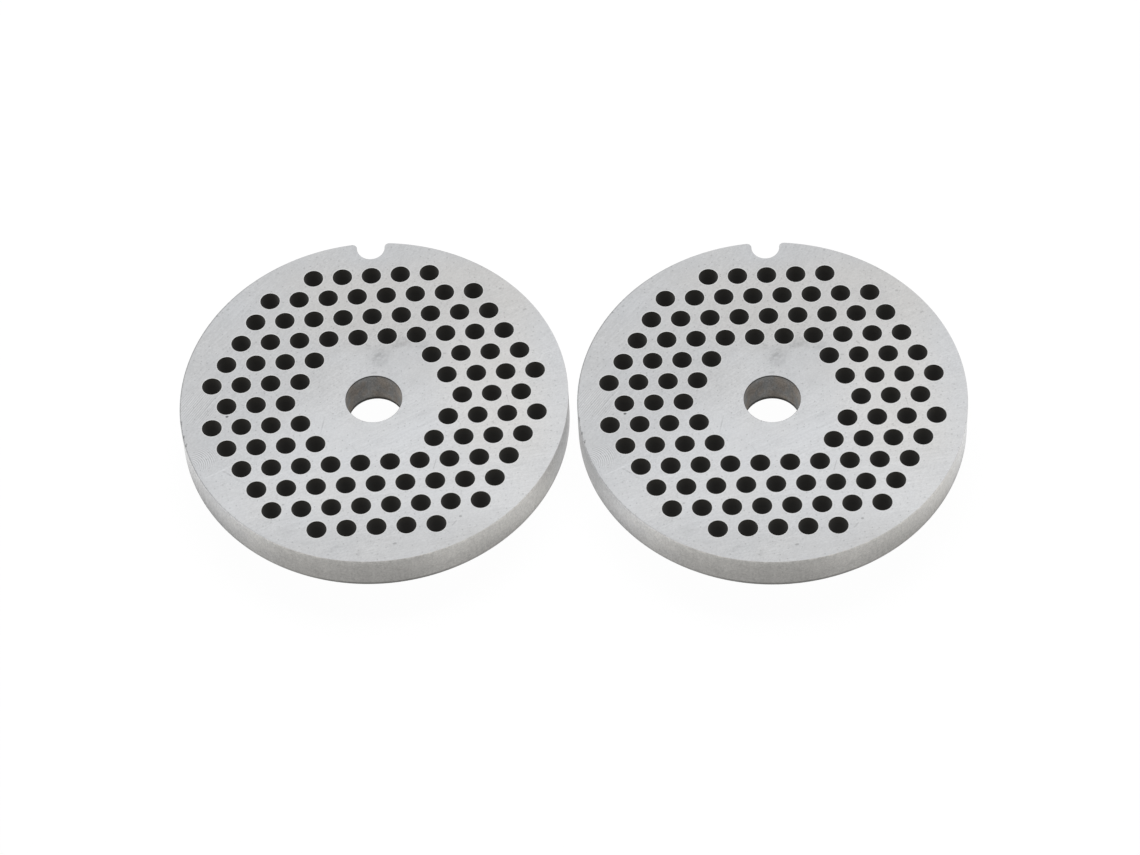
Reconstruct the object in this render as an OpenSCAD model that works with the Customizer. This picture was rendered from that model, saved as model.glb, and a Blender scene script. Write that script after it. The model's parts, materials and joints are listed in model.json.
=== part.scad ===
// Pair of perforated mincer plates, laid face up side by side.
//
// Millimetres, +Z up. Both plates rest on z = 0, one on either side of the origin along X.
// In its own frame a plate is centred on the origin, with its rows of holes along X and the
// key notch in its rim towards +Y. Its two faces are alike, so it can be turned over when one
// face wears.

/* [Plate] */
// Outside diameter of a size 8 plate, which drops into the seat in the mincer's head
plate_d = 62; // [60:0.5:66]
// Thickness between the two ground faces
plate_t = 6.4; // [5:0.1:8]
// Edge break along the rim, the notch and the bore, at 45 degrees
edge_break = 0.05; // [0.05:0.05:0.3]

/* [Bore] */
// Diameter of the bore, which runs on the pin at the end of the worm
bore_d = 9; // [8:0.1:12]

/* [Perforation] */
// Diameter of one hole, left sharp at both faces because the knife cuts against its edge
hole_d = 3.2; // [2.5:0.1:3.6]
// Distance between the centres of neighbouring holes
hole_pitch = 4.7; // [4.6:0.05:4.9]
// Hub without holes: every hole centre lies outside this radius
hub_r = 11; // [10:0.5:12]
// Plain border: every hole centre lies inside this radius
border_r = 27; // [26.5:0.25:27.25]

/* [Key notch] */
// Width of the notch, which slips over the key in the mincer's head
notch_w = 4.5; // [4:0.1:4.5]
// Depth of the notch, measured inwards from the rim
notch_depth = 3.2; // [3.2:0.1:4]
// Radius of the rounded lip on each side of the notch's mouth
lip_r = 0.75; // [0.4:0.05:0.75]

/* [Pair] */
// Gap between the two rims
rim_gap = 1.4; // [0.5:0.1:10]
// Turn of the left plate about its own axis
left_turn = 3.6; // [-30:0.1:30]
// Turn of the right plate about its own axis
right_turn = 2.2; // [-30:0.1:30]

/* [Hidden] */

$fn = 96;
steel = [0.78, 0.79, 0.79];
plate_r = plate_d / 2;
centre_x = (plate_d + rim_gap) / 2;

// How far a cutter runs past the face that it goes through
overrun = 1;

// The holes stand on a triangular grid: each row is half a pitch out of step with the next.
row_step = hole_pitch * sqrt(3) / 2;
row_reach = ceil(border_r / row_step);
column_reach = ceil(border_r / hole_pitch);
hole_centres = [
    for (row = [-row_reach : row_reach])
        for (column = [-column_reach - 1 : column_reach])
            let (
                stagger = row % 2 == 0 ? 0 : 0.5,
                centre = [(column + stagger) * hole_pitch, row * row_step],
                reach = norm(centre)
            )
            if (reach > hub_r && reach < border_r) centre
];

// Centre of the notch's round floor, and of the lip on its +X side. The lip is tangent to the
// notch's straight flank and to the rim.
floor_y = plate_r - notch_depth + notch_w / 2;
lip_x = notch_w / 2 + lip_r;
lip_y = sqrt(pow(plate_r - lip_r, 2) - pow(lip_x, 2));

// A round bar, from its axis outwards, whose radius changes by `flare` within one edge break of
// each face. A negative flare chamfers it, and a positive one makes it a cutter for a hole with
// chamfered mouths. `past` carries its ends on beyond both faces.
module faced_bar(radius, flare, past) {
    rotate_extrude()
        polygon([
            [0, -past],
            [radius + flare, -past],
            [radius + flare, 0],
            [radius, edge_break],
            [radius, plate_t - edge_break],
            [radius + flare, plate_t],
            [radius + flare, plate_t + past],
            [0, plate_t + past]
        ]);
}

// The straight stretch of the notch, from its floor's centre out past the rim
module notch_run() {
    half = notch_w / 2;
    wide = half + edge_break;
    length = plate_r + overrun - floor_y;
    translate([0, floor_y + length, 0])
        rotate([90, 0, 0])
            linear_extrude(length)
                polygon([
                    [-wide, -overrun],
                    [wide, -overrun],
                    [wide, 0],
                    [half, edge_break],
                    [half, plate_t - edge_break],
                    [wide, plate_t],
                    [wide, plate_t + overrun],
                    [-wide, plate_t + overrun],
                    [-wide, plate_t],
                    [-half, plate_t - edge_break],
                    [-half, edge_break],
                    [-wide, 0]
                ]);
}

// What is cut from the rim's corner to leave a rounded lip on the +X side of the mouth
module lip_relief() {
    beyond = (plate_r + overrun) / (plate_r - lip_r);
    difference() {
        translate([0, 0, -overrun])
            linear_extrude(plate_t + 2 * overrun)
                polygon([
                    [0, lip_y],
                    [lip_x, lip_y],
                    [lip_x * beyond, lip_y * beyond],
                    [0, lip_y * beyond]
                ]);
        translate([lip_x, lip_y, 0])
            faced_bar(lip_r, -edge_break, 2 * overrun);
    }
}

module key_notch() {
    translate([0, floor_y, 0])
        faced_bar(notch_w / 2, edge_break, overrun);
    notch_run();
    lip_relief();
    mirror([1, 0, 0])
        lip_relief();
}

module perforation() {
    for (centre = hole_centres)
        translate([centre.x, centre.y, -overrun])
            cylinder(d = hole_d, h = plate_t + 2 * overrun);
}

module mincer_plate() {
    difference() {
        faced_bar(plate_r, -edge_break, 0);
        faced_bar(bore_d / 2, edge_break, overrun);
        perforation();
        key_notch();
    }
}

module left_plate() {
    color(steel)
        translate([-centre_x, 0, 0])
            rotate(left_turn)
                mincer_plate();
}

module right_plate() {
    color(steel)
        translate([centre_x, 0, 0])
            rotate(right_turn)
                mincer_plate();
}

left_plate();
right_plate();
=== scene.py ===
"""A pair of perforated mincer plates in ground steel, on a plain white floor.

Each plate is made by one Geometry Nodes tree. Its sizes and its place come from the frame where the
frame states them, and otherwise from the properties below. Lengths are metres, apart from what the
steels read and draw: each plate carries its own coordinates in millimetres, with the origin in the
middle of its lower face, X along its rows of holes, and Y towards the key notch in its rim.
"""

import json
import math
from collections import namedtuple

import bmesh
import bpy
from bpy.props import FloatProperty, FloatVectorProperty, IntProperty, PointerProperty
from mathutils import Matrix, Vector


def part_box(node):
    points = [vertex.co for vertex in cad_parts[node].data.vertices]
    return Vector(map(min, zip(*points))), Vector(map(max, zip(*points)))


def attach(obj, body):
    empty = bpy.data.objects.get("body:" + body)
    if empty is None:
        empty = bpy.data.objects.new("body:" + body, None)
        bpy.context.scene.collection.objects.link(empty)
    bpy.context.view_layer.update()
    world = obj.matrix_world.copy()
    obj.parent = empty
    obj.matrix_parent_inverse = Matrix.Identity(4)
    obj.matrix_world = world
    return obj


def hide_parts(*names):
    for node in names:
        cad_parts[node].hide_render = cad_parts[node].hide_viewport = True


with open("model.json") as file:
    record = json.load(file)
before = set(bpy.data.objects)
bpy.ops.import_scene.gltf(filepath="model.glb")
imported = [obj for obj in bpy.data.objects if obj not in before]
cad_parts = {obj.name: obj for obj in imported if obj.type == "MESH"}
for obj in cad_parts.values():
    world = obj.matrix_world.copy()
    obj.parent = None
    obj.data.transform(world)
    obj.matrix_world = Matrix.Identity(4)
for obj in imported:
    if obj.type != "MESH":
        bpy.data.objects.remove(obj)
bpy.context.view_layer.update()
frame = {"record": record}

bl_info = {
    "name": "Mincer plates",
    "version": (1, 0, 0),
    "blender": (4, 5, 0),
    "location": "View3D > Sidebar > Mincer plates",
    "description": "A pair of perforated mincer plates in ground steel, in a white studio",
    "category": "Add Mesh",
}

MM = 0.001
SIDES = ("left", "right")
# The attribute that holds a plate's own coordinates in millimetres
PLATE_COORDINATES = "plate_mm"
# Points nearer than this are one point
MERGE_DISTANCE = 0.001 * MM
# A point this near to the plane of a face lies on that face
FACE_TOLERANCE = 0.005 * MM
# The numbers that tell the plate's walls apart
RIM_WALL, BORE_WALL, HOLE_WALL = 0, 1, 2

mounts = {mount["name"]: mount for mount in frame["record"]["mounts"]}


def mount_radius(name):
    return mounts[name]["dims"]["r_mm"] * MM


def mount_centre(name):
    return Vector(mounts[name]["pos_m"])


def axis_to_notch(side):
    """The step from a plate's axis to the centre of its notch's round floor."""
    return mount_centre(side + "_key_notch") - mount_centre(side + "_rim")


def plate_place(side):
    """A plate's centre, and the angle that its notch is turned by from +Y."""
    step = axis_to_notch(side)
    return mount_centre(side + "_rim"), math.atan2(-step.x, step.y)


def plate_thickness():
    lowest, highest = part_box("left_plate")
    return (highest - lowest).z


# ---------------- sizes, colours and light


def length_property(name, description, default):
    return FloatProperty(name=name, description=description, default=default, unit="LENGTH")


def colour_property(name, description, default):
    return FloatVectorProperty(
        name=name, description=description, default=default, size=3, min=0, max=1, subtype="COLOR"
    )


class PlateSizes(bpy.types.PropertyGroup):
    """Sizes of one mincer plate."""

    rim_radius: length_property("Rim radius", "Radius of the disc", mount_radius("left_rim"))
    thickness: length_property(
        "Thickness", "Distance between the two ground faces", plate_thickness()
    )
    edge_break: length_property(
        "Edge break",
        "Width of the 45 degree break along the rim, the notch and the bore",
        0.05 * MM,
    )
    bore_radius: length_property(
        "Bore radius",
        "Radius of the bore that runs on the pin of the worm",
        mount_radius("left_bore"),
    )
    hole_radius: length_property("Hole radius", "Radius of one hole of the perforation", 1.6 * MM)
    hole_pitch: length_property(
        "Hole pitch", "Distance between the centres of neighbouring holes", 4.7 * MM
    )
    burnish_width: length_property(
        "Burnish width",
        "Width of the bright ring that the knife has rubbed round each hole",
        0.10 * MM,
    )
    burnish_depth: length_property(
        "Burnish depth", "How far the bright ring dips into the hole", 0.03 * MM
    )
    hub_radius: length_property("Hub radius", "Every hole centre lies outside this radius", 11 * MM)
    border_radius: length_property(
        "Border radius", "Every hole centre lies inside this radius", 27 * MM
    )
    notch_radius: length_property(
        "Notch radius",
        "Radius of the notch's round floor, and half its width",
        mount_radius("left_key_notch"),
    )
    notch_distance: length_property(
        "Notch distance",
        "From the plate's centre to the centre of the notch's round floor",
        axis_to_notch("left").length,
    )
    lip_radius: length_property(
        "Lip radius", "Radius of the rounded lip on each side of the notch's mouth", 0.75 * MM
    )
    rim_points: IntProperty(
        name="Rim points",
        description="Number of points round the rim",
        default=240,
        min=48,
    )
    hole_sides: IntProperty(
        name="Hole sides",
        description="Number of sides of one hole",
        default=24,
        min=12,
    )


class PlateFinish(bpy.types.PropertyGroup):
    """Colours of the steel, each as it is on the bare metal, apart from the holes, whose colour
    also holds painted shade.
    """

    face: colour_property(
        "Ground face", "Steel of the two surface-ground faces", (0.580, 0.586, 0.594)
    )
    rim: colour_property(
        "Turned rim", "Steel of the turned rim and the notch", (0.582, 0.571, 0.549)
    )
    bore: colour_property(
        "Bore", "Steel inside the bore, dulled by fat and use", (0.250, 0.236, 0.220)
    )
    # the holes' near black is partly dark steel and partly painted shade for the deep holes
    hole: colour_property(
        "Holes", "Steel inside the holes, left nearly black by hardening", (0.0098, 0.0088, 0.0069)
    )
    edge: colour_property(
        "Bright edge", "Steel where an edge is rubbed bright", (0.700, 0.705, 0.700)
    )


class StudioLight(bpy.types.PropertyGroup):
    """The floor, the world and the lamp."""

    world_strength: FloatProperty(
        name="Surround",
        description="Strength of the white surround as a light on the floor",
        default=0.45,
    )
    floor_glow: FloatProperty(
        name="Floor glow",
        description="Share of the floor's white that stays in a shadow, seen straight",
        default=0.97,
        subtype="FACTOR",
    )
    floor_width: length_property("Floor width", "Width of the square floor", 12.0)
    lamp_power: FloatProperty(
        name="Lamp power",
        description="Power of the soft lamp",
        default=10.7,
        unit="POWER",
    )
    lamp_width: length_property("Lamp width", "Width of the lamp, from left to right", 0.8)
    lamp_height: length_property("Lamp height", "The lamp's other side", 0.3)
    lamp_place: FloatVectorProperty(
        name="Lamp place",
        description="Centre of the lamp, behind the plates",
        default=(0.0, 0.65, 0.51),
        subtype="TRANSLATION",
        unit="LENGTH",
    )


class CameraPlace(bpy.types.PropertyGroup):
    """Where the camera stands, seen from the point that it looks at."""

    azimuth: FloatProperty(
        name="Azimuth",
        description="Turn of the camera round the plates, from straight in front",
        default=math.radians(4.207),
        subtype="ANGLE",
    )
    elevation: FloatProperty(
        name="Elevation",
        description="Height of the camera as an angle",
        default=math.radians(55.241),
        subtype="ANGLE",
    )
    roll: FloatProperty(
        name="Roll",
        description="Lean of the camera about its own line of sight",
        default=math.radians(-3.468),
        subtype="ANGLE",
    )
    distance: length_property(
        "Distance", "From the camera to the point that it looks at", 791.8 * MM
    )
    target: FloatVectorProperty(
        name="Target",
        description="The point on the plates' upper face that the camera looks at",
        default=(-0.301 * MM, -5.553 * MM, plate_thickness()),
        subtype="TRANSLATION",
        unit="LENGTH",
    )
    focal_length: FloatProperty(
        name="Focal length",
        description="Focal length in millimetres, for a sensor 36 mm wide",
        default=157.89,
    )


# ---------------- writing node trees


class Field:
    """An output of a node that can be written into a sum. Each step of a sum adds a Math node."""

    def __init__(self, socket):
        self.socket = socket

    @property
    def tree(self):
        return self.socket.id_data

    def other(self, name):
        """Another output of the same node."""
        return Field(self.socket.node.outputs[name])

    def __add__(self, value):
        return maths("ADD", self, value)

    __radd__ = __add__

    def __sub__(self, value):
        return maths("SUBTRACT", self, value)

    def __rsub__(self, value):
        return maths("SUBTRACT", value, self)

    def __mul__(self, value):
        return maths("MULTIPLY", self, value)

    __rmul__ = __mul__

    def __truediv__(self, value):
        return maths("DIVIDE", self, value)

    def __gt__(self, value):
        return maths("GREATER_THAN", self, value)

    def __lt__(self, value):
        return maths("LESS_THAN", self, value)

    def __neg__(self):
        return self * -1.0


def fill(socket, value):
    """Links a Field to a socket, or sets any other value on it."""
    if isinstance(value, Field):
        socket.id_data.links.new(value.socket, socket)
    else:
        socket.default_value = value


def find_input(node, key):
    """A node's input, by its name or by its place in the row."""
    if isinstance(key, int):
        return node.inputs[key]
    for socket in node.inputs:
        if socket.enabled and socket.name == key:
            return socket
    raise KeyError(f"{node.bl_idname} has no input {key!r}")


def put(tree, kind, inputs=(), **settings):
    """Adds a node with these settings and inputs, and returns its first output in use. A list of
    Fields goes into a socket that takes several."""
    node = tree.nodes.new(kind)
    for name, value in settings.items():
        setattr(node, name, value)
    pairs = inputs.items() if isinstance(inputs, dict) else enumerate(inputs)
    for key, value in pairs:
        for single in value if isinstance(value, list) else [value]:
            fill(find_input(node, key), single)
    outputs = [socket for socket in node.outputs if socket.enabled]
    return Field(outputs[0]) if outputs else None


def put_operation(kind, operation, values):
    """Adds a Math or Vector Math node in the tree that its values come from."""
    tree = next(value.tree for value in values if isinstance(value, Field))
    return put(tree, kind, values, operation=operation)


def maths(operation, *values):
    return put_operation("ShaderNodeMath", operation, values)


def vector_maths(operation, *values):
    return put_operation("ShaderNodeVectorMath", operation, values)


def vector(tree, x=0.0, y=0.0, z=0.0):
    return put(tree, "ShaderNodeCombineXYZ", (x, y, z))


def parts(field):
    """The X, Y and Z of a vector."""
    x = put(field.tree, "ShaderNodeSeparateXYZ", (field,))
    return x, x.other("Y"), x.other("Z")


def empty_tree(owner):
    """The node tree of a new material or world, without the nodes that it starts with."""
    owner.use_nodes = True
    owner.node_tree.nodes.clear()
    return owner.node_tree


# The type and the subtype of a group's inputs and outputs
DISTANCE = ("NodeSocketFloat", "DISTANCE")
ANGLE = ("NodeSocketFloat", "ANGLE")
FACTOR = ("NodeSocketFloat", "FACTOR")
COUNT = ("NodeSocketInt", None)
PLACE = ("NodeSocketVector", "TRANSLATION")
MATERIAL = ("NodeSocketMaterial", None)
GEOMETRY = ("NodeSocketGeometry", None)


def group_inputs(tree, sockets):
    """Gives a group its inputs, by name and type, and returns them as Fields."""
    for name, (kind, subtype) in sockets.items():
        socket = tree.interface.new_socket(name, in_out="INPUT", socket_type=kind)
        if subtype:
            socket.subtype = subtype
    node = tree.nodes.new("NodeGroupInput")
    return {name: Field(node.outputs[name]) for name in sockets}


def group_output(tree, name, kind, field):
    """Gives a group its output."""
    tree.interface.new_socket(name, in_out="OUTPUT", socket_type=kind[0])
    put(tree, "NodeGroupOutput", {name: field})


def call_group(tree, group, inputs):
    """Adds a node that runs a group, and returns the group's output."""
    kind = tree.bl_idname.replace("Tree", "Group")
    return put(tree, kind, inputs, node_tree=group)


# ---------------- the plate's shape


def store(geometry, name, value, data_type, domain):
    """Stores a value on each point or face, under a name."""
    return put(
        geometry.tree,
        "GeometryNodeStoreNamedAttribute",
        {"Geometry": geometry, "Name": name, "Value": value},
        data_type=data_type,
        domain=domain,
    )


def stored(tree, name, data_type):
    """The value that was stored under a name."""
    return put(tree, "GeometryNodeInputNamedAttribute", {"Name": name}, data_type=data_type)


def moved(geometry, step, turn=(0.0, 0.0, 0.0)):
    """Geometry turned about the origin, then moved by a step."""
    return put(
        geometry.tree,
        "GeometryNodeTransform",
        {"Geometry": geometry, "Translation": step, "Rotation": turn},
    )


def arc_points_tree():
    """Points along an arc, each with its place in the outline's order."""
    tree = bpy.data.node_groups.new("arc points", "GeometryNodeTree")
    given = group_inputs(
        tree,
        {
            "Count": COUNT,
            "Centre": PLACE,
            "Radius": DISTANCE,
            "Start": ANGLE,
            "Sweep": ANGLE,
            "First": COUNT,
        },
    )
    index = put(tree, "GeometryNodeInputIndex")
    angle = given["Start"] + given["Sweep"] * index / (given["Count"] - 1.0)
    centre_x, centre_y, _ = parts(given["Centre"])
    place = vector(
        tree,
        centre_x + given["Radius"] * maths("COSINE", angle),
        centre_y + given["Radius"] * maths("SINE", angle),
    )
    points = put(tree, "GeometryNodePoints", {"Count": given["Count"], "Position": place})
    ordered = store(points, "order", given["First"] + index, "FLOAT", "POINT")
    group_output(tree, "Points", GEOMETRY, ordered)
    return tree


def wall_profile_tree():
    """The section of a wall that flares within one break of each face: four points, from the lower
    face to the upper one. A positive flare leans out of the curve that the wall follows."""
    tree = bpy.data.node_groups.new("wall profile", "GeometryNodeTree")
    given = group_inputs(tree, {"Half Height": DISTANCE, "Flare": DISTANCE, "Break": DISTANCE})
    index = put(tree, "GeometryNodeInputIndex")
    from_middle = index - 1.5
    at_end = maths("ABSOLUTE", from_middle) > 1.0
    height = given["Half Height"] - given["Break"] * (1.0 - at_end)
    place = vector(tree, given["Flare"] * at_end, height * maths("SIGN", from_middle))
    points = put(tree, "GeometryNodePoints", {"Count": 4, "Position": place})
    curve = put(tree, "GeometryNodePointsToCurves", {"Points": points, "Weight": index})
    group_output(tree, "Profile", GEOMETRY, curve)
    return tree


def outline_curve(tree, given):
    """The rim, with the notch's rounded lips and round floor, as one closed curve that runs
    anticlockwise, seen from above."""
    lip_points = 8
    floor_points = 24
    lip_x = given["Notch Radius"] + given["Lip Radius"]
    rim_to_lip = given["Rim Radius"] - given["Lip Radius"]
    lip_y = maths("SQRT", rim_to_lip * rim_to_lip - lip_x * lip_x)
    lip_angle = maths("ARCTAN2", lip_y, lip_x)
    lip_sweep = math.pi - lip_angle
    rim_sweep = math.pi + 2.0 * lip_angle
    # the rim's own points stop one step short of the lips at both ends
    rim_step = rim_sweep / (given["Rim Points"] + 1.0)
    rim_start = lip_sweep + rim_step
    floor_centre = vector(tree, 0.0, given["Notch Distance"])
    arc_points = arc_points_tree()
    arcs = []
    first = 0
    for count, centre, radius, start, sweep in (
        (given["Rim Points"], vector(tree), "Rim Radius", rim_start, rim_sweep - 2.0 * rim_step),
        (lip_points, vector(tree, lip_x, lip_y), "Lip Radius", lip_angle, lip_sweep),
        (floor_points, floor_centre, "Notch Radius", 0.0, -math.pi),
        (lip_points, vector(tree, -lip_x, lip_y), "Lip Radius", 0.0, lip_sweep),
    ):
        inputs = {"Count": count, "Centre": centre, "Radius": given[radius]}
        inputs |= {"Start": start, "Sweep": sweep, "First": first}
        arcs.append(call_group(tree, arc_points, inputs))
        first = first + count
    points = put(tree, "GeometryNodeJoinGeometry", {"Geometry": arcs})
    order = stored(tree, "order", "FLOAT")
    curve = put(tree, "GeometryNodePointsToCurves", {"Points": points, "Weight": order})
    return put(tree, "GeometryNodeSetSplineCyclic", {"Geometry": curve, "Cyclic": True})


def wall(curve, profile, number):
    """Sweeps a profile along a curve, and gives the wall's faces their number."""
    swept = put(
        curve.tree, "GeometryNodeCurveToMesh", {"Curve": curve, "Profile Curve": profile}
    )
    return store(swept, "wall", number, "INT", "FACE")


def perforation(tree, given, hole):
    """One hole's wall on each point of a triangular grid, between the hub and the border."""
    row_step = given["Hole Pitch"] * (math.sqrt(3) / 2)
    # rows and columns on each side of the middle ones, enough to pass the border
    reach = maths("CEIL", given["Border Radius"] / row_step) + 1.0
    across = reach * 2.0 + 1.0
    index = put(tree, "GeometryNodeInputIndex")
    row = maths("FLOOR", (index + 0.5) / across) - reach
    column = maths("FLOORED_MODULO", index, across) - reach
    stagger = maths("FLOORED_MODULO", row, 2.0) * 0.5
    place = vector(tree, (column + stagger) * given["Hole Pitch"], row * row_step)
    grid = put(tree, "GeometryNodePoints", {"Count": across * across, "Position": place})
    from_axis = vector_maths("LENGTH", put(tree, "GeometryNodeInputPosition"))
    in_field = (from_axis > given["Hub Radius"]) * (from_axis < given["Border Radius"])
    holes = put(
        tree,
        "GeometryNodeInstanceOnPoints",
        {"Points": grid, "Selection": in_field, "Instance": hole},
    )
    return put(tree, "GeometryNodeRealizeInstances", {"Geometry": holes})


def face_cap(walls, half, side):
    """Fills a face between the loops that the walls end in. Side is 1 above and -1 below."""
    tree = walls.tree
    _, _, z = parts(put(tree, "GeometryNodeInputPosition"))
    at_face = z * side > half - FACE_TOLERANCE
    loops = put(tree, "GeometryNodeMeshToCurve", {"Mesh": walls, "Selection": at_face})
    filled = put(tree, "GeometryNodeFillCurve", {"Curve": loops}, mode="TRIANGLES")
    flat_shaded = put(
        tree, "GeometryNodeSetShadeSmooth", {"Geometry": filled, "Shade Smooth": False}
    )
    cap = moved(flat_shaded, vector(tree, 0.0, 0.0, half * side))
    return put(tree, "GeometryNodeFlipFaces", {"Mesh": cap}) if side < 0 else cap


def set_steels(plate, given, half):
    """Gives each face its steel, by the number of its wall and its height."""
    tree = plate.tree
    number = stored(tree, "wall", "INT")
    _, _, z = parts(put(tree, "GeometryNodeInputPosition"))
    from_middle = maths("ABSOLUTE", z - half)
    in_bore = maths("COMPARE", number, BORE_WALL, 0.5)
    in_hole = maths("COMPARE", number, HOLE_WALL, 0.5)
    # a hole's wall is a tall band between two low rings, and only the rings' middles lie past this
    # share of the way out
    ring_share = 0.9
    at_mouth = in_hole * (from_middle > half * ring_share)
    on_face = from_middle > half - FACE_TOLERANCE
    for material, chosen in (
        ("Rim Steel", True),
        ("Bore Steel", in_bore),
        ("Hole Steel", in_hole),
        ("Edge Steel", at_mouth),
        ("Face Steel", on_face),
    ):
        plate = put(
            tree,
            "GeometryNodeSetMaterial",
            {"Geometry": plate, "Selection": chosen, "Material": given[material]},
        )
    return plate


def socket_name(property_name):
    """What a size is called as an input of the plate's tree, such as Rim Radius."""
    return property_name.replace("_", " ").title()


def plate_tree():
    """The whole plate: its walls, and the two faces that close them."""
    bore_sides = 96
    tree = bpy.data.node_groups.new("perforated plate", "GeometryNodeTree")
    sizes = {socket_name(name): DISTANCE for name in PlateSizes.__annotations__}
    counts = {"Rim Points": COUNT, "Hole Sides": COUNT}
    steels = {f"{name} Steel": MATERIAL for name in ("Face", "Rim", "Bore", "Hole", "Edge")}
    given = group_inputs(tree, sizes | counts | {"Centre": PLACE, "Turn": ANGLE} | steels)
    half = given["Thickness"] / 2.0
    profile = wall_profile_tree()

    def section(flare, depth):
        return call_group(tree, profile, {"Half Height": half, "Flare": flare, "Break": depth})

    def circle(sides, radius):
        return put(
            tree, "GeometryNodeCurvePrimitiveCircle", {"Resolution": sides, "Radius": radius}
        )

    edge_break = given["Edge Break"]
    rim = wall(outline_curve(tree, given), section(-edge_break, edge_break), RIM_WALL)
    bore = wall(
        circle(bore_sides, given["Bore Radius"]), section(edge_break, edge_break), BORE_WALL
    )
    hole = wall(
        circle(given["Hole Sides"], given["Hole Radius"]),
        section(given["Burnish Width"], given["Burnish Depth"]),
        HOLE_WALL,
    )
    holes = perforation(tree, given, hole)
    walls = put(tree, "GeometryNodeJoinGeometry", {"Geometry": [rim, bore, holes]})
    walls = put(tree, "GeometryNodeSetShadeSmooth", {"Geometry": walls, "Shade Smooth": True})
    caps = [face_cap(walls, half, side) for side in (1.0, -1.0)]
    plate = put(tree, "GeometryNodeJoinGeometry", {"Geometry": [walls, *caps]})
    plate = put(
        tree, "GeometryNodeMergeByDistance", {"Geometry": plate, "Distance": MERGE_DISTANCE}
    )
    plate = moved(plate, vector(tree, 0.0, 0.0, half))
    in_mm = vector_maths("MULTIPLY", put(tree, "GeometryNodeInputPosition"), (1.0 / MM,) * 3)
    plate = store(plate, PLATE_COORDINATES, in_mm, "FLOAT_VECTOR", "POINT")
    plate = moved(plate, given["Centre"], vector(tree, 0.0, 0.0, given["Turn"]))
    plate = put(tree, "GeometryNodeRealizeInstances", {"Geometry": plate})
    group_output(tree, "Geometry", GEOMETRY, set_steels(plate, given, half))
    return tree


def new_object(name, data):
    """Adds an object to the scene, and returns it."""
    made = bpy.data.objects.new(name, data)
    bpy.context.scene.collection.objects.link(made)
    return made


def set_modifier_inputs(modifier, values):
    """Sets a modifier's inputs, by their names in its node tree."""
    sockets = {
        item.name: item.identifier
        for item in modifier.node_group.interface.items_tree
        if item.item_type == "SOCKET" and item.in_out == "INPUT"
    }
    for name, value in values.items():
        modifier[sockets[name]] = value


def plain_mesh(name, tree, inputs):
    """What a tree makes of these inputs, as a mesh. The object that carried the tree is removed."""
    carrier = new_object("carrier", bpy.data.meshes.new("carrier"))
    modifier = carrier.modifiers.new("plate", "NODES")
    modifier.node_group = tree
    set_modifier_inputs(modifier, inputs)
    depsgraph = bpy.context.evaluated_depsgraph_get()
    mesh = bpy.data.meshes.new_from_object(carrier.evaluated_get(depsgraph))
    bpy.data.objects.remove(carrier)
    mesh.name = name
    return mesh


def close_and_check(mesh):
    """Merges what meets, turns every face outwards, and marks the sharp edges. Refuses a plate that
    isn't one closed solid."""
    sharp_angle = math.radians(30)
    work = bmesh.new()
    work.from_mesh(mesh)
    bmesh.ops.remove_doubles(work, verts=work.verts, dist=MERGE_DISTANCE)
    bmesh.ops.recalc_face_normals(work, faces=work.faces)
    if any(len(edge.link_faces) != 2 for edge in work.edges):
        raise RuntimeError(f"{mesh.name} has an open edge")
    for edge in work.edges:
        edge.smooth = edge.calc_face_angle() < sharp_angle
    if work.calc_volume(signed=True) <= 0:
        raise RuntimeError(f"{mesh.name} is inside out")
    work.to_mesh(mesh)
    work.free()


def make_plate(side, sizes, steels, tree):
    """One plate as a plain mesh, in place on its body."""
    centre, turn = plate_place(side)
    inputs = {socket_name(name): getattr(sizes, name) for name in PlateSizes.__annotations__}
    inputs |= {"Centre": (centre.x, centre.y, 0.0), "Turn": turn, **steels}
    mesh = plain_mesh(side + "_ground_plate", tree, inputs)
    close_and_check(mesh)
    for name in ("order", "wall"):
        mesh.attributes.remove(mesh.attributes[name])
    plate = new_object(mesh.name, mesh)
    # the rims that face each other then mirror white floor, as the rims that face outward do
    plate.visible_glossy = False
    plate.visible_diffuse = False
    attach(plate, side + "_plate")
    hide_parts(side + "_plate")


# ---------------- marks on the steel


# A mark on the upper face: its middle in millimetres, the direction that it runs in, in degrees
# from the rows of holes, half its length and half its width in millimetres, how soft its edge is,
# and how much lighter or darker than the steel round it
Mark = namedtuple("Mark", "x y direction half_length half_width softness change")

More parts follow.
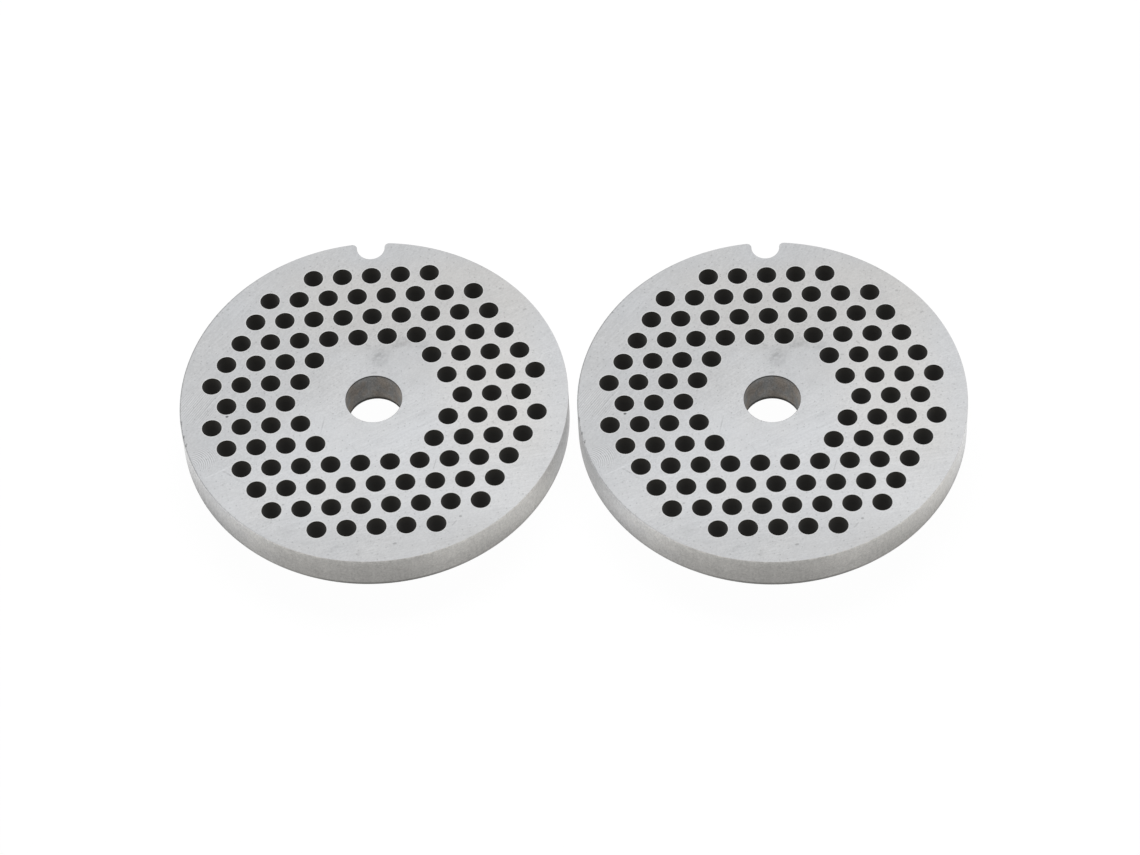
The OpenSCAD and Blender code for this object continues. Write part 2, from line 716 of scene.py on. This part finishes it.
MARKS = (
    # smudges of fat
    Mark(1.1, 8.2, 60, 0.6, 1.3, 0.98, -0.14),
    Mark(0.9, 8.5, 20, 0.3, 0.4, 0.95, -0.07),
    Mark(4.2, 10.4, 20, 0.7, 0.5, 0.95, -0.13),
    Mark(-0.7, 10.2, 90, 0.2, 0.35, 0.95, -0.13),
    Mark(6.4, 10.6, -18, 1.9, 0.9, 0.9, -0.09),
    Mark(0.1, 5.1, 10, 0.3, 0.20, 0.8, -0.16),
    Mark(7.6, -3.6, 40, 0.5, 0.7, 0.9, -0.05),
    Mark(-13.8, -24.6, 0, 0.6, 0.6, 0.9, -0.05),
    Mark(-11.0, -26.8, 10, 0.6, 0.35, 0.9, -0.08),
    Mark(-6.5, -28.1, 40, 0.6, 0.35, 0.9, -0.08),
    Mark(-2.7, -29.2, 50, 0.3, 0.35, 0.9, -0.08),
    # scratches
    Mark(-25.0, -12.7, 27, 2.2, 0.09, 0.7, 0.10),
    Mark(-23.4, -12.9, -33, 0.7, 0.12, 0.7, -0.12),
    Mark(-22.0, -14.0, -35, 1.7, 0.12, 0.8, -0.06),
    Mark(-25.6, 0.9, 54, 1.9, 0.08, 0.6, 0.11),
    Mark(-25.9, 1.1, 54, 1.6, 0.07, 0.6, -0.09),
    Mark(-28.6, 0.2, 54, 2.2, 0.06, 0.6, -0.07),
    Mark(-8.2, -4.5, 77, 0.5, 0.12, 0.8, -0.10),
    Mark(-8.2, -4.6, 77, 1.6, 0.09, 0.8, -0.10),
    Mark(9.4, -13.2, 74, 0.9, 0.08, 0.7, -0.20),
    Mark(-3.2, -9.6, -64, 0.8, 0.07, 0.7, -0.08),
    Mark(21.3, -1.3, -80, 0.6, 0.08, 0.7, -0.15),
    Mark(2.1, -5.6, -57, 0.4, 0.07, 0.7, -0.08),
    Mark(-0.6, -18.3, 2, 2.0, 0.09, 0.7, 0.05),
    Mark(23.0, 16.5, 12, 1.2, 0.10, 0.7, 0.05),
    Mark(12.2, -24.5, 52, 0.5, 0.09, 0.6, -0.20),
    # painted shade along the left edge, where its break lies in shadow
    Mark(-30.7, -2.8, 90, 0.25, 0.13, 0.6, -0.35),
    Mark(-30.3, -5.5, 80, 0.15, 0.13, 0.6, -0.40),
    Mark(-29.9, -7.1, 75, 0.20, 0.13, 0.6, -0.35),
    # pits and short nicks
    Mark(13.2, -23.3, 0, 0.05, 0.18, 0.5, -0.36),
    Mark(2.8, -27.8, 10, 0.15, 0.16, 0.5, -0.30),
    Mark(27.8, -1.0, 0, 0.05, 0.12, 0.5, -0.24),
    Mark(28.0, -7.9, 0, 0.05, 0.13, 0.5, -0.24),
    Mark(-23.45, -2.0, 0, 0.03, 0.17, 0.5, -0.80),
    Mark(9.5, 29.1, 0, 0.05, 0.14, 0.5, -0.18),
    Mark(-23.3, 19.1, 40, 0.12, 0.14, 0.5, -0.20),
    Mark(-25.0, 17.9, 0, 0.10, 0.13, 0.5, -0.20),
    Mark(24.6, 16.1, 30, 0.15, 0.15, 0.5, -0.24),
    Mark(20.8, 20.5, 0, 0.10, 0.15, 0.5, -0.20),
    Mark(18.8, -5.6, 45, 0.10, 0.13, 0.5, -0.20),
    Mark(17.9, -3.1, 0, 0.05, 0.12, 0.5, -0.18),
    Mark(23.1, -19.7, 0, 0.05, 0.13, 0.5, -0.22),
    Mark(-14.6, -19.4, 0, 0.05, 0.14, 0.5, -0.24),
    Mark(14.1, 10.5, -45, 0.30, 0.13, 0.6, -0.20),
    Mark(11.5, 8.2, 0, 0.15, 0.13, 0.6, -0.18),
    Mark(-3.4, 11.2, 70, 0.20, 0.13, 0.6, -0.16),
)

# Half the width in millimetres past which a mark is a blotchy smudge
WIDEST_SCRATCH = 0.3

# Streaks of the grinding wheel, in a patch of the two faces: the patch's middle and radius in
# millimetres, the streaks' direction in degrees, how many there are to a millimetre, and their
# strength
Streaks = namedtuple("Streaks", "x y radius direction per_mm strength")

GRINDING_STREAKS = (
    Streaks(2.0, -25.0, 20.0, 10.0, 3.4, 0.20),
    Streaks(24.0, -14.0, 14.0, 6.0, 3.4, 0.25),
    Streaks(28.5, 2.0, 8.0, 13.0, 3.4, 0.20),
    Streaks(4.0, -6.0, 13.0, 27.0, 3.4, 0.24),
    Streaks(-6.0, 4.0, 9.0, 36.0, 3.4, 0.20),
    Streaks(-27.0, 1.0, 9.0, 54.0, 2.6, 0.26),
    Streaks(-22.0, 19.0, 14.0, 50.0, 3.0, 0.22),
    Streaks(4.0, 22.0, 18.0, 58.0, 3.4, 0.15),
    Streaks(25.0, 14.0, 12.0, 28.0, 3.0, 0.16),
    Streaks(-17.0, -20.0, 12.0, 18.0, 3.2, 0.20),
)

# Broad patches of the upper face that use has left lighter or darker: the middle's X and Y and the
# reach in millimetres, and the change
WORN_PATCHES = (
    (14.0, 13.0, 7.0, 0.055),
    (21.0, -20.0, 9.0, 0.045),
    (22.5, 21.5, 7.0, 0.035),
    (-13.5, -3.5, 8.0, 0.035),
    (-16.0, -21.0, 10.0, -0.030),
    (-3.0, 15.0, 9.0, -0.030),
    (-3.0, 6.5, 7.0, 0.040),
)

# Broad patches of painted reflection that leave the rim lighter or darker: the middle's X and the
# reach in millimetres, and the change
PAINTED_RIM_REFLECTION_PATCHES = (
    (-28.0, 5.0, -0.09),
    (-20.0, 6.0, 0.07),
    (11.0, 7.0, 0.11),
    (20.0, 6.0, -0.06),
    (27.5, 5.0, -0.06),
)


# ---------------- steel


def new_steel(name):
    """A material with a Principled shader, and the plate's own coordinates in millimetres."""
    material = bpy.data.materials.new(name)
    tree = empty_tree(material)
    shader = put(tree, "ShaderNodeBsdfPrincipled")
    put(tree, "ShaderNodeOutputMaterial", {"Surface": shader})
    attribute = put(tree, "ShaderNodeAttribute", attribute_name=PLATE_COORDINATES)
    return material, shader.socket.node, attribute.other("Vector")


def set_surface(shader, colour, metallic, roughness, relief=None, depth_mm=0.0):
    """Sets what a steel looks like. Its bump follows the relief, over a depth."""
    fill(shader.inputs["Base Color"], colour)
    fill(shader.inputs["Metallic"], metallic)
    fill(shader.inputs["Roughness"], roughness)
    if relief is not None:
        bump = {"Height": relief, "Distance": depth_mm * MM, "Strength": 1.0}
        fill(shader.inputs["Normal"], put(relief.tree, "ShaderNodeBump", bump))


def noise(place, per_mm, detail=2.0, roughness=0.5, shift=(0.0, 0.0, 0.0)):
    """Noise from 0 to 1, with so many features to a millimetre along X, Y and Z."""
    scaled = put(
        place.tree,
        "ShaderNodeMapping",
        {"Vector": place, "Location": shift, "Scale": per_mm},
        vector_type="POINT",
    )
    return put(
        place.tree,
        "ShaderNodeTexNoise",
        {"Vector": scaled, "Scale": 1.0, "Detail": detail, "Roughness": roughness},
    )


def swing(field, amount):
    """Noise from 0 to 1, brought round 0 and made so strong."""
    return (field - 0.5) * amount


def ramp(field, low, high):
    """0 below low, 1 above high, and a smooth rise between. Low may be the greater, for a fall."""
    return put(
        field.tree,
        "ShaderNodeMapRange",
        {"Value": field, "From Min": low, "From Max": high, "To Min": 0.0, "To Max": 1.0},
        interpolation_type="SMOOTHSTEP",
        clamp=True,
    )


def turned(place, angle):
    """Coordinates whose X runs along a direction, given as an angle from their own X."""
    return put(
        place.tree,
        "ShaderNodeVectorRotate",
        {"Vector": place, "Angle": -angle},
        rotation_type="Z_AXIS",
    )


def flat(place):
    """Coordinates with their height taken out."""
    return vector_maths("MULTIPLY", place, (1.0, 1.0, 0.0))


def distance_from(place, x=0.0, y=0.0):
    """How far each point is from an upright line: the plate's axis, or one through x and y."""
    return vector_maths("LENGTH", vector_maths("SUBTRACT", flat(place), (x, y, 0.0)))


def mixed(share, first, second):
    """One colour where the share is 0, another where it is 1, and a mix between."""
    return put(
        share.tree,
        "ShaderNodeMix",
        {"Factor": share, "A": (*first, 1.0), "B": (*second, 1.0)},
        data_type="RGBA",
    )


def tinted(warmth, colour, cool_tint, warm_tint):
    """A colour times a cool tint where the warmth is 0, and times a warm one where it is 1."""
    cool, warm = (
        [channel * tint for channel, tint in zip(colour, tints)]
        for tints in (cool_tint, warm_tint)
    )
    return mixed(warmth, cool, warm)


def shaded(colour, tone):
    """A colour, as numbers or as a Field, times a tone."""
    base = colour if isinstance(colour, Field) else tuple(colour)
    scale = {0: base, "Scale": tone}
    return put(tone.tree, "ShaderNodeVectorMath", scale, operation="SCALE")


def mark_group():
    """How far a point is inside a mark: 1 in its middle and 0 outside it."""
    tree = bpy.data.node_groups.new("mark", "ShaderNodeTree")
    given = group_inputs(
        tree,
        {
            "Place": PLACE,
            "Middle": PLACE,
            "Direction": ANGLE,
            "Half Length": DISTANCE,
            "Half Width": DISTANCE,
            "Softness": FACTOR,
        },
    )
    from_middle = vector_maths("SUBTRACT", given["Place"], given["Middle"])
    x, y, _ = parts(turned(from_middle, given["Direction"]))
    past_end = maths("MAXIMUM", maths("ABSOLUTE", x) - given["Half Length"], 0.0)
    away = maths("SQRT", past_end * past_end + y * y)
    inner = given["Half Width"] * (1.0 - given["Softness"])
    outer = given["Half Width"] * (1.0 + given["Softness"])
    group_output(tree, "Inside", FACTOR, ramp(away, outer, inner))
    return tree


def marks_and_edge_shade(place):
    """How much lighter or darker the marks make each point of the upper face."""
    on_face = flat(place)
    blotches = 0.5 + ramp(noise(on_face, (1.6, 1.6, 0.4), shift=(2.0, 7.0, 0.0)), 0.34, 0.66)
    group = mark_group()
    total = 0.0
    for mark in MARKS:
        inputs = {
            "Place": on_face,
            "Middle": (mark.x, mark.y, 0.0),
            "Direction": math.radians(mark.direction),
            "Half Length": mark.half_length,
            "Half Width": mark.half_width,
            "Softness": mark.softness,
        }
        inside = call_group(place.tree, group, inputs)
        if mark.half_width > WIDEST_SCRATCH:
            inside = inside * blotches
        total = total + inside * mark.change
    return total


def worn_patches(place):
    """How much lighter or darker use has made each broad patch of the upper face."""
    return sum(
        ramp(distance_from(place, x, y), reach, 0.0) * change
        for x, y, reach, change in WORN_PATCHES
    )


def grinding_streaks(place):
    """Streaks in several directions, each in its own soft patch of the face."""
    total = 0.0
    for number, streaks in enumerate(GRINDING_STREAKS):
        shift = 13.0 * number
        lines = noise(
            turned(place, math.radians(streaks.direction)),
            (0.17, streaks.per_mm, 0.4),
            roughness=0.6,
            shift=(shift, shift, 0.0),
        )
        away = distance_from(place, streaks.x, streaks.y)
        share = ramp(away, streaks.radius * 1.25, streaks.radius * 0.35)
        total = total + swing(lines, share * streaks.strength)
    return total


def wheel_marks(place):
    """Fine even marks that the wheel's edge left on the left border: arcs, and lines above them."""
    marks_per_mm = 3.0
    waves = 2 * math.pi * marks_per_mm
    arcs_centre, arcs_middle, lines_middle = (-29.3, -11.3), (-27.2, -9.9), (-28.3, 0.0)
    lines_direction = math.radians(54.0)
    waver = noise(place, (0.4, 0.4, 0.4), detail=1.0) * 2.0
    fade = ramp(noise(place, (0.9, 0.9, 0.4), shift=(8.0, 4.0, 0.0)), 0.15, 0.50)
    arcs = maths("SINE", distance_from(place, *arcs_centre) * waves + waver)
    arcs = arcs * ramp(distance_from(place, *arcs_middle), 2.7, 0.9)
    _, across, _ = parts(turned(place, lines_direction))
    lines = maths("SINE", across * waves + waver)
    lines = lines * ramp(distance_from(place, *lines_middle), 4.2, 1.6)
    return (arcs * 0.22 + lines * 0.13) * fade


def pitting(place):
    """1 in each of the small sparse pits, and 0 round them."""
    share_with_a_pit = 0.4
    cells = put(
        place.tree,
        "ShaderNodeTexVoronoi",
        {"Vector": place, "Scale": 0.9},
        voronoi_dimensions="2D",
    )
    chance, _, _ = parts(cells.other("Color"))
    return ramp(cells.other("Distance"), 0.14, 0.05) * (chance < share_with_a_pit)


def painted_face_highlight(place):
    """How strong the painted highlight is at each point of the upper face: all of the near half,
    below a line that is level across the hub and rises to the right beyond it, but less at the
    right and along the near border."""
    rise = math.radians(30)
    x, y, _ = parts(place)
    beyond_hub = ramp(distance_from(place), 5.0, 16.0)
    above_line = y * math.cos(rise) - x * math.sin(rise) * beyond_hub
    near_border = ramp(y, -18.0, -29.0)
    right_patch = ramp(x, 8.0, 20.0) * ramp(y, -7.0, 2.0)
    # the share of the painted highlight, before it is weakened at the right and along the near
    # border
    rubbed = ramp(above_line, 9.0, -8.0)
    return rubbed * (1.0 - 0.85 * near_border) * (1.0 - 0.28 * right_patch)


def face_warmth(place):
    """How warm the face's steel is, from 0 to 1: in clouds, and more along its right side and its
    far one, up to the border."""
    x, y, _ = parts(place)
    right_side = ramp(x, 6.0, 18.0) * ramp(y, -18.0, -5.0)
    far_side = ramp(y, 8.0, 16.0) * ramp(x, -20.0, -4.0)
    inside_border = ramp(x, 30.0, 22.0) * ramp(y, 29.0, 23.0)
    sides = maths("MAXIMUM", right_side, far_side) * inside_border
    cloud = noise(place, (0.10, 0.10, 0.4), shift=(3.0, 19.0, 0.0))
    return ramp(0.40 + swing(cloud, 0.6) + sides * 0.4, 0.0, 1.0)


def face_steel(finish, sizes):
    """Surface-ground steel: cloudy patches, fine grain, streaks left by the grinding wheel, small
    pits, the marks of use on the upper face with painted shade along its left edge, and a painted
    highlight over the near half of the upper face."""
    material, shader, place = new_steel("ground steel face")
    x, _, z = parts(place)
    on_upper_face = z > sizes.thickness / 2 / MM
    cloud = noise(place, (0.10, 0.10, 0.4))
    small_cloud = noise(place, (0.55, 0.55, 0.4), shift=(7.0, 3.0, 0.0))
    grain = noise(turned(place, math.radians(35)), (3.0, 4.6, 0.4), roughness=0.7)
    rough_spots = noise(place, (0.14, 0.14, 0.4), detail=1.0, shift=(12.0, 8.0, 0.0))
    specks = ramp(noise(place, (3.4, 3.4, 0.4), detail=1.0, shift=(31.0, 5.0, 0.0)), 0.31, 0.20)
    streaks = grinding_streaks(place) + wheel_marks(place)
    marks = marks_and_edge_shade(place) * (0.5 + grain) + worn_patches(place)
    tone = (
        0.985
        + swing(cloud, 0.07)
        + swing(small_cloud, 0.11)
        + swing(grain, 0.15 + rough_spots * 0.5)
        + streaks
        - specks * 0.12
        - pitting(place) * 0.22
        # a painted highlight over the near half of the upper face, and the marks of use
        + (painted_face_highlight(place) * 0.155 + marks) * on_upper_face
    )
    # at the left, a thin dark line parts the face from its rim
    left_side = ramp(x, -10.0, -26.0)
    into_rim = distance_from(place) + swing(grain, 0.5) - sizes.rim_radius / MM
    border_line = ramp(into_rim, -0.24, -0.10) * left_side
    colour = tinted(face_warmth(place), finish.face, (0.985, 0.997, 1.016), (1.024, 1.004, 0.977))
    colour = shaded(colour, tone * (1.0 - border_line * 0.38))
    roughness = 0.42 + swing(small_cloud, 0.12)
    relief = grain + streaks * 2.0
    set_surface(
        shader, colour, metallic=1.0, roughness=roughness, relief=relief, depth_mm=0.006
    )
    return material


def rim_steel(finish, sizes):
    """Turned steel: fine lines round the rim, crossed by soft mottling and upright streaks. It's
    lighter along its upper edge in a ragged line, partly by painted light, and darker at its bottom
    by painted shade; a painted reflection leaves its sides lighter and its front darker."""
    material, shader, place = new_steel("turned steel rim")
    x, y, z = parts(place)
    from_top = sizes.thickness / MM - z
    lines = noise(place, (0.12, 0.12, 5.0), roughness=0.6)
    mottle = noise(place, (0.35, 0.35, 0.35))
    upright = noise(place, (1.8, 1.8, 0.7), roughness=0.6, shift=(5.0, 9.0, 0.0))
    grain = noise(place, (3.2, 3.2, 2.6), roughness=0.65)
    specks = ramp(noise(place, (1.7, 1.7, 1.7), detail=1.0, shift=(2.0, 6.0, 3.0)), 0.27, 0.18)
    tone = (
        1.0
        + swing(lines, 0.10)
        + swing(mottle, 0.15)
        + swing(upright, 0.32)
        + swing(grain, 0.70)
        - specks * 0.30
    )
    nicks = ramp(noise(place, (0.9, 0.9, 0.4), shift=(6.0, 1.0, 4.0)), 0.44, 0.62)
    ragged_edge = nicks * ramp(from_top, 0.55, 0.20)
    # painted light in a ragged band along the upper part of the rim
    painted_upper_light = ramp(from_top - swing(upright, 2.4), 0.9, -0.2)
    # a painted reflection leaves the sides lighter and the front darker
    from_front = maths("ABSOLUTE", x - 1.0)
    painted_rim_reflection = ramp(from_front, 9.0, 21.0) * 0.11 - ramp(from_front, 10.0, 2.0) * 0.07
    for middle, reach, change in PAINTED_RIM_REFLECTION_PATCHES:
        painted_rim_reflection = painted_rim_reflection + ramp(maths("ABSOLUTE", x - middle), reach, 0.0) * change
    # painted shade along the bottom of the rim, deepest at the front
    painted_bottom_shade = ramp(z, 0.75, 0.25) * (0.12 + ramp(from_front, 18.0, 5.0) * 0.32)
    broken_edge = ramp(from_top, 0.07, 0.03) * 0.14
    # the tone also falls a little with height, and the upper edge's break is darker
    tone = tone * (1.03 - z * 0.01) * (1.0 - painted_bottom_shade) * (1.0 - broken_edge)
    tone = tone * (1.0 + painted_upper_light * 0.03 + ragged_edge * 0.12 + painted_rim_reflection)
    # the metal is warmer at the front, most so to the right of it, and hardly at the far right
    warmth = ramp(x * 0.5 - y + swing(mottle, 12.0), 4.0, 24.0)
    warmth = warmth * (1.0 - ramp(x, 26.0, 30.0) * 0.9)
    neutral = sum(finish.rim) / 3
    colour = shaded(mixed(warmth, (neutral, neutral, neutral), finish.rim), tone)
    relief = lines + grain * 0.5
    set_surface(shader, colour, metallic=1.0, roughness=0.5, relief=relief, depth_mm=0.008)
    return material


def bore_steel(finish, sizes):
    """The bore's wall: dull and speckled, with a dark line at its upper edge and painted shade
    along its lower edge.
    """
    material, shader, place = new_steel("dulled steel bore")
    x, _, z = parts(place)
    from_top = sizes.thickness / MM - z
    speckle = noise(place, (3.2, 3.2, 2.6), roughness=0.7)
    patches = noise(place, (0.45, 0.45, 0.45))
    spots = ramp(noise(place, (1.6, 1.6, 1.6), detail=1.0, shift=(4.0, 1.0, 8.0)), 0.32, 0.22)
    tone = 1.0 + swing(speckle, 1.2) + swing(patches, 0.9) - spots * 0.25
    top_line = ramp(from_top, 0.34, 0.18) * 0.69
    # painted shade along the lower edge of the bore
    painted_bore_bottom_shade = ramp(z, 0.85, 0.35) * 0.74
    right_side = ramp(x, 1.3, 3.2) * 0.28
    left_side = ramp(x, -1.5, -3.0) * 0.08
    upper_band = ramp(from_top, 2.0, 0.7) * 0.09
    tone = tone * (1.0 - top_line) * (1.0 - painted_bore_bottom_shade)
    tone = tone * (1.0 + right_side + upper_band - left_side)
    stain = noise(place, (0.6, 0.6, 0.35), detail=3.0, shift=(9.0, 2.0, 5.0))
    warmth = ramp(stain, 0.35, 0.65)
    colour = tinted(warmth, finish.bore, (0.945, 1.0, 1.055), (1.055, 1.0, 0.945))
    colour = shaded(colour, tone)
    set_surface(shader, colour, metallic=1.0, roughness=0.55, relief=speckle, depth_mm=0.012)
    return material


def hole_steel(finish, sizes):
    """The wall of a drilled hole: nearly black, partly from painted shade, with drilling rings, and
    lighter towards its mouths by painted light.
    """
    material, shader, place = new_steel("dark hole steel with painted shade")
    _, _, z = parts(place)
    half = sizes.thickness / 2 / MM
    rings = noise(place, (0.4, 0.4, 5.0))
    soot = noise(place, (1.5, 1.5, 1.0))
    # painted shade: darker deep inside the hole, lighter towards its mouths
    painted_mouth_light = ramp(maths("ABSOLUTE", z - half), 0.6, half)
    tone = (1.0 + swing(rings, 0.5) + swing(soot, 0.8)) * (0.70 + painted_mouth_light * 1.2)
    colour = shaded(finish.hole, tone)
    set_surface(shader, colour, metallic=0.8, roughness=0.6, relief=rings, depth_mm=0.01)
    return material


def edge_steel(finish):
    """Steel that is rubbed bright along an edge."""
    material, shader, place = new_steel("bright steel edge")
    wear = noise(place, (1.2, 1.2, 1.2), detail=3.0)
    colour = shaded(finish.edge, 1.0 + swing(wear, 0.25))
    set_surface(shader, colour, metallic=1.0, roughness=0.36)
    return material


# ---------------- the stage


WHITE = (1.0, 1.0, 1.0, 1.0)
SENSOR_WIDTH_MM = 36.0


def background_rays(tree):
    """1 for the rays that show the background: straight, mirrored, or through glass."""
    path = put(tree, "ShaderNodeLightPath")
    seen = path + path.other("Is Glossy Ray") + path.other("Is Transmission Ray")
    return maths("MINIMUM", seen, 1.0)


def make_world(studio):
    """A white surround: dimmer as a light than it is to look at."""
    world = bpy.data.worlds.new("white surround")
    tree = empty_tree(world)
    strength = studio.world_strength + background_rays(tree) * (1.0 - studio.world_strength)
    shown = put(tree, "ShaderNodeBackground", {"Color": WHITE, "Strength": strength})
    put(tree, "ShaderNodeOutputWorld", {"Surface": shown})
    bpy.context.scene.world = world


def make_floor(studio):
    """A white floor. Seen straight, nearly all of its white glows, so it keeps only a faint shadow.
    Seen in the steel it is matt, so the shadow in front of a plate darkens the plate's rim."""
    half = studio.floor_width / 2
    mesh = bpy.data.meshes.new("floor")
    corners = [(-half, -half, 0), (half, -half, 0), (half, half, 0), (-half, half, 0)]
    mesh.from_pydata(corners, [], [(0, 1, 2, 3)])
    floor = new_object("floor", mesh)
    material = bpy.data.materials.new("white floor")
    tree = empty_tree(material)
    seen_straight = put(tree, "ShaderNodeLightPath")
    glow = seen_straight * studio.floor_glow
    matt = put(tree, "ShaderNodeBsdfDiffuse", {"Color": shaded(WHITE[:3], 1.0 - glow)})
    light = put(tree, "ShaderNodeEmission", {"Color": WHITE, "Strength": glow})
    both = put(tree, "ShaderNodeAddShader", (matt, light))
    put(tree, "ShaderNodeOutputMaterial", {"Surface": both})
    mesh.materials.append(material)


def make_lamp(studio):
    """One soft lamp behind the plates. It lights the floor, and isn't mirrored in the steel."""
    data = bpy.data.lights.new("soft lamp", "AREA")
    data.shape = "RECTANGLE"
    data.size = studio.lamp_width
    data.size_y = studio.lamp_height
    data.energy = studio.lamp_power
    lamp = new_object("soft lamp", data)
    lamp.visible_glossy = False
    place = Vector(studio.lamp_place)
    back = place.to_track_quat("Z", "Y").to_matrix().to_4x4()
    lamp.matrix_world = Matrix.Translation(place) @ back


def make_camera(place):
    """A camera that looks at its target from an azimuth and an elevation, leaning by its roll."""
    data = bpy.data.cameras.new("camera")
    data.sensor_fit = "HORIZONTAL"
    data.sensor_width = SENSOR_WIDTH_MM
    data.lens = place.focal_length
    data.clip_start = 0.01
    data.clip_end = 100.0
    camera = new_object("camera", data)
    turn = Matrix.Rotation(place.azimuth, 4, "Z")
    tip = Matrix.Rotation(math.pi / 2 - place.elevation, 4, "X")
    back_off = Matrix.Translation((0.0, 0.0, place.distance))
    lean = Matrix.Rotation(place.roll, 4, "Z")
    camera.matrix_world = Matrix.Translation(place.target) @ turn @ tip @ back_off @ lean
    bpy.context.scene.camera = camera


# ---------------- operators and panel


class MINCER_OT_plates(bpy.types.Operator):
    """Make both mincer plates, each on its own body"""

    bl_idname = "mincer.plates"
    bl_label = "Make the plates"

    def execute(self, context):
        sizes = context.scene.plate_sizes
        finish = context.scene.plate_finish
        steels = {
            "Face Steel": face_steel(finish, sizes),
            "Rim Steel": rim_steel(finish, sizes),
            "Bore Steel": bore_steel(finish, sizes),
            "Hole Steel": hole_steel(finish, sizes),
            "Edge Steel": edge_steel(finish),
        }
        tree = plate_tree()
        for side in SIDES:
            make_plate(side, sizes, steels, tree)
        return {"FINISHED"}


class MINCER_OT_stage(bpy.types.Operator):
    """Make the white floor, the surround, the lamp and the camera"""

    bl_idname = "mincer.stage"
    bl_label = "Make the stage"

    def execute(self, context):
        make_world(context.scene.studio_light)
        make_floor(context.scene.studio_light)
        make_lamp(context.scene.studio_light)
        make_camera(context.scene.camera_place)
        context.scene.view_settings.view_transform = "Standard"
        return {"FINISHED"}


class MINCER_PT_panel(bpy.types.Panel):
    """Sizes, colours, light and camera, with the buttons that use them"""

    bl_label = "Mincer plates"
    bl_idname = "MINCER_PT_panel"
    bl_space_type = "VIEW_3D"
    bl_region_type = "UI"
    bl_category = "Mincer plates"

    def draw(self, context):
        for group, operator in (
            ("plate_sizes", None),
            ("plate_finish", "mincer.plates"),
            ("studio_light", None),
            ("camera_place", "mincer.stage"),
        ):
            box = self.layout.box()
            values = getattr(context.scene, group)
            for name in values.__annotations__:
                box.prop(values, name)
            if operator:
                box.operator(operator)


SETTINGS = {
    "plate_sizes": PlateSizes,
    "plate_finish": PlateFinish,
    "studio_light": StudioLight,
    "camera_place": CameraPlace,
}
CLASSES = (*SETTINGS.values(), MINCER_OT_plates, MINCER_OT_stage, MINCER_PT_panel)


def register():
    for cls in CLASSES:
        bpy.utils.register_class(cls)
    for name, cls in SETTINGS.items():
        setattr(bpy.types.Scene, name, PointerProperty(type=cls))


def unregister():
    for name in SETTINGS:
        delattr(bpy.types.Scene, name)
    for cls in reversed(CLASSES):
        bpy.utils.unregister_class(cls)


def main():
    register()
    bpy.ops.mincer.plates()
    bpy.ops.mincer.stage()


if __name__ == "__main__":
    main()
